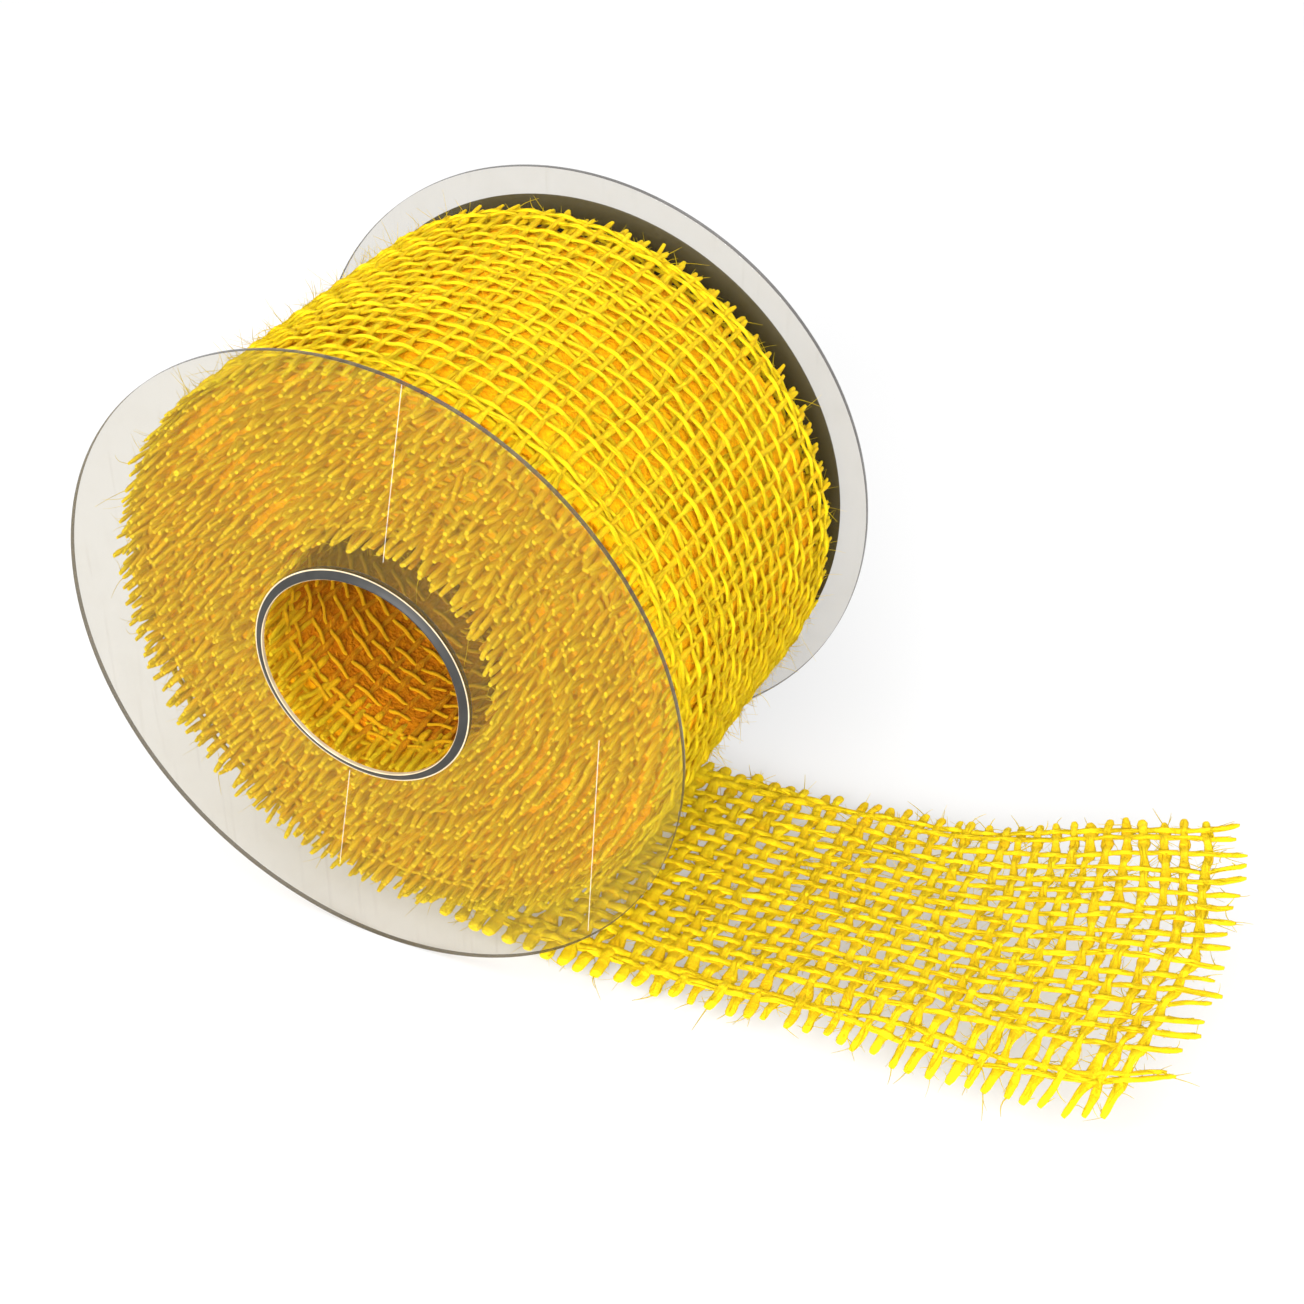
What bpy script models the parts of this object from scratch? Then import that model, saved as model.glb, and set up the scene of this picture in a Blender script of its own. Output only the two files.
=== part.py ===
"""Ribbon spool: 50 mm jute mesh ribbon wound on a clear core between two clear discs.

Metres, +Z up. The origin is the middle of the object's footprint on the surface it stands on.
The spool's axis runs along +Y, and the loose end of the ribbon lies along +X.
"""

import math

import bmesh
import bpy
from mathutils import Matrix, Vector

# Core tube and the collars that close its ends
BORE_RADIUS = 0.0142
CORE_WALL = 0.0011
COLLAR_SEAT = 0.00025            # how far a collar reaches in past its disc
COLLAR_PROUD = 0.00065           # how far it stands out of its disc

# Clear discs
FLANGE_THICKNESS = 0.0008
FLANGE_RIM = 0.0043              # how far a disc stands out past the roll
SIDE_CLEARANCE = 0.0028          # between the roll and either disc

# Round label on the rear disc
LABEL_MARGIN = 0.0042            # bare disc left round the label
LABEL_THICKNESS = 0.00025
LABEL_INSET = 0.0006             # how far its hole stays clear of the collar

# Strip of tape that holds the ribbon's inner end on the core
TAPE_THICKNESS = 0.0002
TAPE_WIDTH = 0.0120
TAPE_SPAN = math.radians(70)
TAPE_MIDDLE = math.radians(48)   # turned from +X towards +Z

# Wound ribbon
RIBBON_WIDTH = 0.0500
WINDING_SCATTER = 0.0013         # how far a turn wanders sideways
WINDING_DEPTH = 0.0237           # from the first turn to the last
RIBBON_THICKNESS = 0.0012        # of the flat sheet that stands for the open weave

# Loose end: it drops from under the roll, lies down, and curls up towards its cut end
TAIL_SHIFT = -0.0010             # the loose end lies a little towards the front disc
TAIL_START = -0.0020             # all measured from the spool's axis, along +X
TAIL_LANDING = 0.0220
TAIL_FOLD = 0.0600               # where the end piece lifts
TAIL_REACH = 0.1060
CURL_RISE = 0.0155               # rise of the cut end's middle
TWIST_START = 0.0720             # from here the rear edge curls up more than the front one
TWIST_SLOPE = 0.23               # across the ribbon, at the cut end

GAP = 0.00025                    # between pieces that touch
SIDES = 96                       # of a full turn, a multiple of four
SHEET_STEP = 0.0045              # size of the flat sheet's facets

CORE_RADIUS = BORE_RADIUS + CORE_WALL
ROLL_INNER = CORE_RADIUS + TAPE_THICKNESS + 2 * GAP
ROLL_OUTER = ROLL_INNER + WINDING_DEPTH
ROLL_HALF_WIDTH = RIBBON_WIDTH / 2 + WINDING_SCATTER
FLANGE_RADIUS = ROLL_OUTER + FLANGE_RIM
FLANGE_INNER_FACE = ROLL_HALF_WIDTH + SIDE_CLEARANCE
FLANGE_OUTER_FACE = FLANGE_INNER_FACE + FLANGE_THICKNESS
COLLAR_START = FLANGE_INNER_FACE - COLLAR_SEAT
COLLAR_END = FLANGE_OUTER_FACE + COLLAR_PROUD
CORE_END = COLLAR_START - GAP
AXIS_X = (FLANGE_RADIUS - TAIL_REACH) / 2
AXIS_Z = FLANGE_RADIUS


def clear_scene():
    for item in list(bpy.data.objects):
        bpy.data.objects.remove(item, do_unlink=True)


def make_material(name, color, roughness, alpha=1.0):
    material = bpy.data.materials.new(name)
    material.use_nodes = True
    shader = material.node_tree.nodes["Principled BSDF"]
    shader.inputs["Base Color"].default_value = (*color, 1.0)
    shader.inputs["Roughness"].default_value = roughness
    shader.inputs["Metallic"].default_value = 0.0
    shader.inputs["Alpha"].default_value = alpha
    return material


def make_empty(name, location):
    empty = bpy.data.objects.new(name, None)
    empty.location = location
    bpy.context.scene.collection.objects.link(empty)
    return empty


def add_object(name, shape, material, parent, smooth=False):
    bmesh.ops.recalc_face_normals(shape, faces=shape.faces)
    mesh = bpy.data.meshes.new(name)
    shape.to_mesh(mesh)
    shape.free()
    if smooth:
        mesh.shade_smooth()
        mesh.set_sharp_from_angle(angle=math.radians(30))
    mesh.materials.append(material)
    item = bpy.data.objects.new(name, mesh)
    bpy.context.scene.collection.objects.link(item)
    item.parent = parent
    return item


def ring_section(shape, inner, outer, start, end, turn):
    """A face in the plane at that turn, from the inner to the outer radius, between two places on +Y."""
    corners = ((inner, start), (outer, start), (outer, end), (inner, end))
    points = [shape.verts.new((radius, place, 0.0)) for radius, place in corners]
    face = shape.faces.new(points)
    bmesh.ops.rotate(shape, cent=(0, 0, 0), matrix=Matrix.Rotation(-turn, 3, "Y"), verts=points)
    return face


def make_ring(name, inner, outer, start, end, material, parent):
    """A turned ring about the spool's axis, with a flat facet at the bottom, at the outer radius."""
    corner = 1 / math.cos(math.pi / SIDES)
    shape = bmesh.new()
    face = ring_section(shape, inner * corner, outer * corner, start, end, math.pi / SIDES)
    edges = list(face.edges)
    bmesh.ops.delete(shape, geom=[face], context="FACES_ONLY")
    bmesh.ops.spin(
        shape,
        geom=list(shape.verts) + edges,
        cent=(0, 0, 0),
        axis=(0, 1, 0),
        angle=2 * math.pi,
        steps=SIDES,
        use_merge=True,
    )
    return add_object(name, shape, material, parent, smooth=True)


def make_core(clear, grey, parent):
    make_ring("core_tube", BORE_RADIUS, CORE_RADIUS, -CORE_END, CORE_END, clear, parent)
    make_ring("front_collar", BORE_RADIUS, CORE_RADIUS, -COLLAR_END, -COLLAR_START, grey, parent)
    make_ring("rear_collar", BORE_RADIUS, CORE_RADIUS, COLLAR_START, COLLAR_END, grey, parent)


def make_flanges(clear, parent):
    hole = CORE_RADIUS + GAP
    near = FLANGE_INNER_FACE
    far = FLANGE_OUTER_FACE
    make_ring("front_flange", hole, FLANGE_RADIUS, -far, -near, clear, parent)
    make_ring("rear_flange", hole, FLANGE_RADIUS, near, far, clear, parent)


def make_label(paper, parent):
    start = FLANGE_OUTER_FACE + GAP
    hole = CORE_RADIUS + LABEL_INSET
    outer = FLANGE_RADIUS - LABEL_MARGIN
    make_ring("rear_label", hole, outer, start, start + LABEL_THICKNESS, paper, parent)


def make_start_tape(tape, parent):
    """A curved strip on the core, under the first turn."""
    inner = CORE_RADIUS + GAP
    shape = bmesh.new()
    half = TAPE_WIDTH / 2
    face = ring_section(
        shape, inner, inner + TAPE_THICKNESS, -half, half, TAPE_MIDDLE - TAPE_SPAN / 2
    )
    bmesh.ops.spin(
        shape,
        geom=[face],
        cent=(0, 0, 0),
        axis=(0, -1, 0),
        angle=TAPE_SPAN,
        steps=round(SIDES * TAPE_SPAN / math.tau),
    )
    return add_object("start_tape", shape, tape, parent, smooth=True)


def make_roll(ribbon, parent):
    half = ROLL_HALF_WIDTH
    make_ring("ribbon_roll", ROLL_INNER, ROLL_OUTER, -half, half, ribbon, parent)


def ease(share):
    share = min(max(share, 0.0), 1.0)
    return share * share * (3 - 2 * share)


def tail_height(along, across):
    """Underside of the loose end above the surface; both places are measured from the spool's middle."""
    roll_bottom = AXIS_Z - ROLL_OUTER
    drop = roll_bottom - GAP - RIBBON_THICKNESS
    if along < TAIL_LANDING:
        return drop * (1 - ease(along / TAIL_LANDING))
    curl = (along - TAIL_LANDING) / (TAIL_REACH - TAIL_LANDING)
    twist = TWIST_SLOPE * ease((along - TWIST_START) / (TAIL_REACH - TWIST_START))
    return CURL_RISE * curl * curl + twist * (across - TAIL_SHIFT)


def make_sheet(name, start, end, material, parent):
    """A stretch of the loose end: a grid laid on the tail's surface and given its thickness upwards."""
    offset = Vector((AXIS_X, 0, 0)) - parent.location
    shape = bmesh.new()
    bmesh.ops.create_grid(
        shape,
        x_segments=max(2, round((end - start) / SHEET_STEP)),
        y_segments=max(2, round(RIBBON_WIDTH / SHEET_STEP / 2)),
        size=0.5,
    )
    for point in shape.verts:
        along = start + (point.co.x + 0.5) * (end - start)
        across = TAIL_SHIFT + point.co.y * RIBBON_WIDTH
        point.co = offset + Vector((along, across, tail_height(along, across)))
    grown = bmesh.ops.extrude_face_region(shape, geom=list(shape.faces), use_keep_orig=True)
    top = [item for item in grown["geom"] if isinstance(item, bmesh.types.BMVert)]
    bmesh.ops.translate(shape, verts=top, vec=(0, 0, RIBBON_THICKNESS))
    return add_object(name, shape, material, parent, smooth=True)


def main():
    clear_scene()
    clear = make_material("clear_plastic", (0.92, 0.91, 0.88), 0.08, alpha=0.25)
    grey = make_material("grey_plastic", (0.10, 0.10, 0.10), 0.35)
    paper = make_material("label_paper", (0.06, 0.06, 0.05), 0.65)
    tape = make_material("clear_tape", (0.90, 0.88, 0.80), 0.25, alpha=0.45)
    ribbon = make_material("jute_ribbon", (0.90, 0.58, 0.02), 0.80)

    spool = make_empty("spool_axis", (AXIS_X, 0, AXIS_Z))
    make_core(clear, grey, spool)
    make_flanges(clear, spool)
    make_label(paper, spool)
    make_start_tape(tape, spool)
    make_roll(ribbon, spool)

    surface = make_empty("tail_base", (AXIS_X, 0, 0))
    make_sheet("ribbon_tail", TAIL_START, TAIL_FOLD - GAP / 2, ribbon, surface)
    fold_height = tail_height(TAIL_FOLD, TAIL_SHIFT) + RIBBON_THICKNESS
    fold = make_empty("fold_axis", (AXIS_X + TAIL_FOLD, 0, fold_height))
    make_sheet("ribbon_end", TAIL_FOLD + GAP / 2, TAIL_REACH, ribbon, fold)


main()
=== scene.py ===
"""Ribbon spool: open-weave jute ribbon wound between two clear discs, with its loose end lying in front.

Every yarn of the weave is a strand of its own. The wound turns follow a spiral on the core, and the
loose end follows a surface that drops from under the roll, lies down and curls up at the cut.
"""

from __future__ import annotations

import logging
import math
from dataclasses import dataclass, field
from enum import Enum
from functools import reduce
from typing import Protocol

import bmesh
import bpy
import numpy as np
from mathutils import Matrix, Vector


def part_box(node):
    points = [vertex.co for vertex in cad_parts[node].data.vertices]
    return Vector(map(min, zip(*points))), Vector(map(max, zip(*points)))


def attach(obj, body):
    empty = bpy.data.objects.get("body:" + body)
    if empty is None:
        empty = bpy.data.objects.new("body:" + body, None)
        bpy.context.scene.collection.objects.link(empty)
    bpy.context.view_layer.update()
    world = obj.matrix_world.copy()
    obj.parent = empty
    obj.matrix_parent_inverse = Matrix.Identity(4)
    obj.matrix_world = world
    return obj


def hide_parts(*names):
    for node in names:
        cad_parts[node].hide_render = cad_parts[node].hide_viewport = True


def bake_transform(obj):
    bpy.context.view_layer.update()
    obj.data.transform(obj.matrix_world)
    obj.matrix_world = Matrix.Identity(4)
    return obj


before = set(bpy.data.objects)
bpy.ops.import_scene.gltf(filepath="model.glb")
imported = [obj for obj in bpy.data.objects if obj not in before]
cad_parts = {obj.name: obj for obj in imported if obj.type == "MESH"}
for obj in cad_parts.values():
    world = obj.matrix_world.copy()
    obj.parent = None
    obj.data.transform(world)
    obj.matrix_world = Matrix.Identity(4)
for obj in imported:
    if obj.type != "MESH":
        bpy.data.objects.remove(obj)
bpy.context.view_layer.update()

LOG = logging.getLogger("ribbon_spool")
CORE_GAP = 0.0006
ROLL_SPREAD = 0.0003
TURNS = 19
LOOSE_END_DROP = 0.0007
CUT_ALLOWANCE = 0.003
Color = tuple[float, float, float]
Socket = bpy.types.NodeSocket
Material = bpy.types.Material
Piece = bpy.types.Object
Array = np.ndarray


# ---- places taken from the frame


@dataclass(frozen=True)
class SpoolPlace:
    """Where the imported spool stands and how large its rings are, in metres."""

    axis_x: float
    axis_z: float
    flange_radius: float
    inner_face: float
    outer_face: float
    core_radius: float
    collar_end: float
    label_radius: float
    label_start: float
    label_end: float
    roll_outer: float
    roll_half_width: float
    fold_x: float
    reach_x: float
    core_wall: float = 0.0011
    label_inset: float = 0.0006

    @classmethod
    def from_frame(cls) -> "SpoolPlace":
        """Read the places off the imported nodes' boxes.

        Returns:
            The spool's place and radii.
        """
        disc_low, disc_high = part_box("rear_flange")
        core_low, core_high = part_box("core_tube")
        _, collar_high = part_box("rear_collar")
        label_low, label_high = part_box("rear_label")
        roll_low, roll_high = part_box("ribbon_roll")
        end_low, end_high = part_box("ribbon_end")
        return cls(
            axis_x=(disc_low.x + disc_high.x) / 2,
            axis_z=(disc_low.z + disc_high.z) / 2,
            flange_radius=(disc_high.z - disc_low.z) / 2,
            inner_face=disc_low.y,
            outer_face=disc_high.y,
            core_radius=(core_high.z - core_low.z) / 2,
            collar_end=collar_high.y,
            label_radius=(label_high.z - label_low.z) / 2,
            label_start=label_low.y,
            label_end=label_high.y,
            roll_outer=(roll_high.z - roll_low.z) / 2,
            roll_half_width=roll_high.y,
            fold_x=end_low.x,
            reach_x=end_high.x,
        )

    @property
    def axis(self) -> Vector:
        """A point of the spool's axis, halfway between the discs."""
        return Vector((self.axis_x, 0.0, self.axis_z))

    def radius_of(self, point: Vector) -> float:
        """Distance of a point from the spool's axis."""
        return math.hypot(point.x - self.axis_x, point.z - self.axis_z)

    @property
    def bore_radius(self) -> float:
        """Inner radius of the core and its collars."""
        return self.core_radius - self.core_wall


# ---- small helpers


def ease(share: Array) -> Array:
    """Smooth step from 0 to 1 over a share that may lie outside it."""
    part = np.clip(share, 0.0, 1.0)
    return part * part * (3 - 2 * part)


def smooth_noise(rng: np.random.Generator, places: Array, pitch: float, size: float) -> Array:
    """Seeded smooth unevenness along a line.

    Args:
        rng: The random source.
        places: Places along the line, in metres.
        pitch: Distance between the random knots.
        size: Standard deviation of the knots.

    Returns:
        One value for each place.
    """
    first = math.floor(places.min() / pitch)
    last = math.floor(places.max() / pitch) + 2
    knots = rng.normal(0.0, size, last - first + 1)
    share = places / pitch - first
    low = np.floor(share).astype(int)
    part = ease(share - low)
    return knots[low] * (1 - part) + knots[low + 1] * part


def link_object(name: str, mesh: bpy.types.Mesh, *materials: Material) -> Piece:
    """Put a mesh in the scene as an object at the origin.

    Args:
        name: The piece's name.
        mesh: Its mesh, already in place.
        materials: The finishes, in the order of the mesh's material numbers.

    Returns:
        The new object.
    """
    for material in materials:
        mesh.materials.append(material)
    item = bpy.data.objects.new(name, mesh)
    bpy.context.scene.collection.objects.link(item)
    return item


def mesh_piece(name: str, shape: bmesh.types.BMesh, sharp: float | None, *materials: Material) -> Piece:
    """Make a bmesh a smooth shaded piece.

    Args:
        name: The piece's name.
        shape: Its shape, already in place; it is freed.
        sharp: The angle in degrees from which an edge is sharp, or None for no sharp edge.
        materials: The finishes, in the order of the shape's material numbers.

    Returns:
        The piece.
    """
    mesh = bpy.data.meshes.new(name)
    shape.to_mesh(mesh)
    shape.free()
    mesh.shade_smooth()
    if sharp is not None:
        mesh.set_sharp_from_angle(angle=math.radians(sharp))
    return link_object(name, mesh, *materials)


# ---- node helpers


class Tree:
    """Short hand for laying nodes and wires in one node tree."""

    def __init__(self, tree: bpy.types.NodeTree) -> None:
        """Keep the tree.

        Args:
            tree: A shader or geometry node tree.
        """
        self.tree = tree

    def node(
        self, kind: str, values: dict[str | int, object] | None = None, **settings: object
    ) -> bpy.types.Node:
        """Add a node.

        Args:
            kind: The node's type name.
            values: A constant or a socket for each input, by its name or number.
            settings: Properties of the node itself.

        Returns:
            The node.
        """
        made = self.tree.nodes.new(kind)
        for name, value in settings.items():
            setattr(made, name, value)
        self.feed(made, values or {})
        return made

    def feed(self, target: bpy.types.Node, values: dict[str | int, object]) -> None:
        """Give a node's inputs their values.

        Args:
            target: The node.
            values: For each input a socket to join to it, a colour or another constant.
        """
        for name, value in values.items():
            if isinstance(value, Socket):
                self.tree.links.new(value, target.inputs[name])
            elif target.inputs[name].type == "RGBA":
                target.inputs[name].default_value = (*value, 1.0)
            else:
                target.inputs[name].default_value = value

    def math(self, operation: str, first: object, second: object = 0.0) -> Socket:
        """Add a Math node.

        Args:
            operation: Its operation.
            first: A socket or a number.
            second: A socket or a number.

        Returns:
            The node's output.
        """
        return self.node("ShaderNodeMath", {0: first, 1: second}, operation=operation).outputs[0]

    def blend_colors(self, mask: Socket, low: object, high: object) -> Socket:
        """Mix two colours by a mask.

        Args:
            mask: 0 gives low and 1 gives high.
            low: A socket or a colour.
            high: A socket or a colour.

        Returns:
            The mixed colour.
        """
        return self.node("ShaderNodeMix", {"Factor": mask, 6: low, 7: high}, data_type="RGBA").outputs[2]

    def span(self, value: Socket, ends: tuple[float, float], to: tuple[float, float] = (0.0, 1.0)) -> Socket:
        """Map a value from one span to another, kept inside it.

        Args:
            value: The value to map.
            ends: The span it comes from.
            to: The span it goes to.

        Returns:
            The mapped value.
        """
        limits = {"From Min": ends[0], "From Max": ends[1], "To Min": to[0], "To Max": to[1]}
        return self.node("ShaderNodeMapRange", {"Value": value, **limits}, clamp=True).outputs["Result"]

    def bump(self, height: Socket, strength: float, distance: float) -> Socket:
        """Add a Bump node and give its normal."""
        values = {"Height": height, "Strength": strength, "Distance": distance}
        return self.node("ShaderNodeBump", values).outputs["Normal"]

    def noise(self, place: Socket, scale: float | Socket, detail: float, roughness: float) -> Socket:
        """Add a Noise Texture node and give its value."""
        values = {"Vector": place, "Scale": scale, "Detail": detail, "Roughness": roughness}
        return self.node("ShaderNodeTexNoise", values).outputs["Fac"]


def make_group(
    name: str, inputs: dict[str, float], outputs: tuple[str, ...]
) -> tuple[Tree, bpy.types.Node, bpy.types.Node]:
    """Start a shader node group.

    Args:
        name: The group's name.
        inputs: Its number inputs and their defaults.
        outputs: The names of its number outputs.

    Returns:
        The group's tree, its input node and its output node.
    """
    group = bpy.data.node_groups.new(name, "ShaderNodeTree")
    for label, value in inputs.items():
        socket = group.interface.new_socket(name=label, in_out="INPUT", socket_type="NodeSocketFloat")
        socket.default_value = value
    for label in outputs:
        group.interface.new_socket(name=label, in_out="OUTPUT", socket_type="NodeSocketFloat")
    tree = Tree(group)
    return tree, tree.node("NodeGroupInput"), tree.node("NodeGroupOutput")


def twisted_fibre_group() -> bpy.types.NodeTree:
    """Fibres laid round a yarn in a helix, read from the strand's own section and length.

    Returns:
        The group, with the outputs Fibre, Clump and Height.
    """
    tree, entry, leave = make_group(
        "twisted_fibre",
        {"Twist": 2200.0, "Fibre Width": 2.2, "Fibre Length": 260.0},
        ("Fibre", "Clump", "Height"),
    )
    section, along, tone = (
        tree.node("ShaderNodeAttribute", attribute_name=name) for name in ("section", "along", "tone")
    )
    angle = tree.math("MULTIPLY", along.outputs["Fac"], entry.outputs["Twist"])
    twisted = {"Vector": section.outputs["Vector"], "Angle": angle}
    turn = tree.node("ShaderNodeVectorRotate", twisted, rotation_type="Z_AXIS")
    split = tree.node("ShaderNodeSeparateXYZ", {"Vector": turn.outputs["Vector"]})
    width = entry.outputs["Fibre Width"]
    length = tree.math("MULTIPLY", along.outputs["Fac"], entry.outputs["Fibre Length"])
    shift = tree.math("MULTIPLY", tone.outputs["Fac"], 61.0)
    sides = {axis: tree.math("MULTIPLY", split.outputs[axis], width) for axis in ("X", "Y")}
    join = tree.node("ShaderNodeCombineXYZ", {**sides, "Z": tree.math("ADD", length, shift)})
    fibre = tree.span(tree.noise(join.outputs["Vector"], 1.6, 3.0, 0.62), (0.38, 0.62))
    clump = tree.span(tree.noise(join.outputs["Vector"], 0.45, 1.5, 0.5), (0.35, 0.65))
    mixed = tree.math("ADD", tree.math("MULTIPLY", fibre, 0.65), tree.math("MULTIPLY", clump, 0.35))
    tree.feed(leave, {"Fibre": fibre, "Clump": clump, "Height": mixed})
    return tree.tree


def handling_wear_group() -> bpy.types.NodeTree:
    """Fine scuffs and a little dust on smooth plastic, in object coordinates.

    Returns:
        The group, with the outputs Scuff and Dust.
    """
    inputs = {"Scuff Scale": 900.0, "Dust Scale": 260.0}
    tree, entry, leave = make_group("handling_wear", inputs, ("Scuff", "Dust"))
    place = tree.node("ShaderNodeTexCoord").outputs["Object"]
    drawn = {"Vector": place, "Scale": (1.0, 1.0, 0.06), "Rotation": (0.0, 0.5, 0.0)}
    mapping = tree.node("ShaderNodeMapping", drawn)
    scuff = tree.noise(mapping.outputs["Vector"], entry.outputs["Scuff Scale"], 2.0, 0.5)
    dust = tree.noise(place, entry.outputs["Dust Scale"], 3.0, 0.6)
    tree.feed(leave, {"Scuff": tree.span(scuff, (0.62, 0.78)), "Dust": tree.span(dust, (0.45, 0.80))})
    return tree.tree


def hairline_group() -> bpy.types.NodeTree:
    """One straight fine line on a disc that faces along Y.

    Returns:
        The group, with the output Line.
    """
    tree, entry, leave = make_group(
        "hairline",
        {"Foot": 0.0, "Lean": 0.0, "Half Width": 0.00005, "Bottom": 0.0, "Top": 0.1, "Depth": 0.0},
        ("Line",),
    )
    place = tree.node("ShaderNodeTexCoord")
    split = tree.node("ShaderNodeSeparateXYZ", {"Vector": place.outputs["Object"]})
    leaning = tree.math("MULTIPLY", split.outputs["Z"], entry.outputs["Lean"])
    middle = tree.math("ADD", entry.outputs["Foot"], leaning)
    away = tree.math("ABSOLUTE", tree.math("SUBTRACT", split.outputs["X"], middle))
    limits = (
        tree.math("LESS_THAN", away, entry.outputs["Half Width"]),
        tree.math("GREATER_THAN", split.outputs["Z"], entry.outputs["Bottom"]),
        tree.math("LESS_THAN", split.outputs["Z"], entry.outputs["Top"]),
        tree.math("LESS_THAN", split.outputs["Y"], entry.outputs["Depth"]),
    )
    line = reduce(lambda first, second: tree.math("MULTIPLY", first, second), limits)
    tree.feed(leave, {"Line": line})
    return tree.tree


class Groups:
    """The shared effects, each built once."""

    def __init__(self) -> None:
        """Build the groups."""
        self.fibre = twisted_fibre_group()
        self.wear = handling_wear_group()
        self.hairline = hairline_group()


# ---- finishes


def start_material(name: str) -> tuple[Material, Tree, bpy.types.Node]:
    """Start a material with one Principled shader.

    Args:
        name: The material's name.

    Returns:
        The material, its tree and its shader.
    """
    material = bpy.data.materials.new(name)
    material.use_nodes = True
    tree = Tree(material.node_tree)
    return material, tree, material.node_tree.nodes["Principled BSDF"]


def place_group(tree: Tree, group: bpy.types.NodeTree, **values: float) -> bpy.types.Node:
    """Place a shared group in a material.

    Args:
        tree: The material's tree.
        group: The group.
        values: Its input values, with underscores for spaces.

    Returns:
        The group's node.
    """
    made = tree.node("ShaderNodeGroup", node_tree=group)
    for name, value in values.items():
        made.inputs[name.replace("_", " ").title()].default_value = value
    return made


@dataclass(frozen=True)
class JuteFinish:
    """Dyed jute yarn: coarse twisted fibre, dull and strongly coloured."""

    name: str
    deep: Color
    middle: Color
    pale: Color
    roughness: float = 0.80
    fibre_sheen: float = 0.14
    twist: float = 2200.0
    relief: float = 0.00014

    def make(self, groups: Groups) -> Material:
        """Build the material.

        Args:
            groups: The shared effects.

        Returns:
            The material.
        """
        material, tree, shader = start_material(self.name)
        fibre = place_group(tree, groups.fibre, twist=self.twist)
        tone = tree.node("ShaderNodeAttribute", attribute_name="tone").outputs["Fac"]
        body = tree.blend_colors(fibre.outputs["Clump"], self.deep, self.middle)
        lit = tree.blend_colors(fibre.outputs["Fibre"], body, self.pale)
        # Low tone pulls towards the deep colour and high tone towards the pale one; the tone carries random
        # yarn tone and painted shade at the weave's crossings.
        ground = tree.blend_colors(tree.span(tone, (0.0, 0.6), (0.45, 0.0)), lit, self.deep)
        ends = (self.roughness, self.roughness - self.fibre_sheen)
        values = {
            "Base Color": tree.blend_colors(tree.span(tone, (0.5, 1.0), (0.0, 0.6)), ground, self.pale),
            "Roughness": tree.span(fibre.outputs["Fibre"], (0.0, 1.0), ends),
            "Normal": tree.bump(fibre.outputs["Height"], 0.9, self.relief),
            "Specular IOR Level": 0.12,
        }
        tree.feed(shader, values)
        return material


@dataclass(frozen=True)
class WindingBodyFinish:
    """Deep inside of the roll, where light only comes back orange."""

    name: str
    dark: Color = (0.86, 0.34, 0.0008)
    light: Color = (0.98, 0.52, 0.0015)

    def make(self) -> Material:
        """Build the material.

        Returns:
            The material.
        """
        material, tree, shader = start_material(self.name)
        place = tree.node("ShaderNodeTexCoord").outputs["Object"]
        mask = tree.span(tree.noise(place, 1100.0, 4.0, 0.65), (0.35, 0.65))
        values = {
            "Base Color": tree.blend_colors(mask, self.dark, self.light),
            "Normal": tree.bump(mask, 0.8, 0.0004),
            "Roughness": 0.9,
            "Specular IOR Level": 0.1,
        }
        tree.feed(shader, values)
        return material


@dataclass(frozen=True)
class Hairline:
    """A fine straight crease in a clear disc, from the spool's axis, in metres."""

    offset: float
    lean: float
    bottom: float
    top: float


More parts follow.
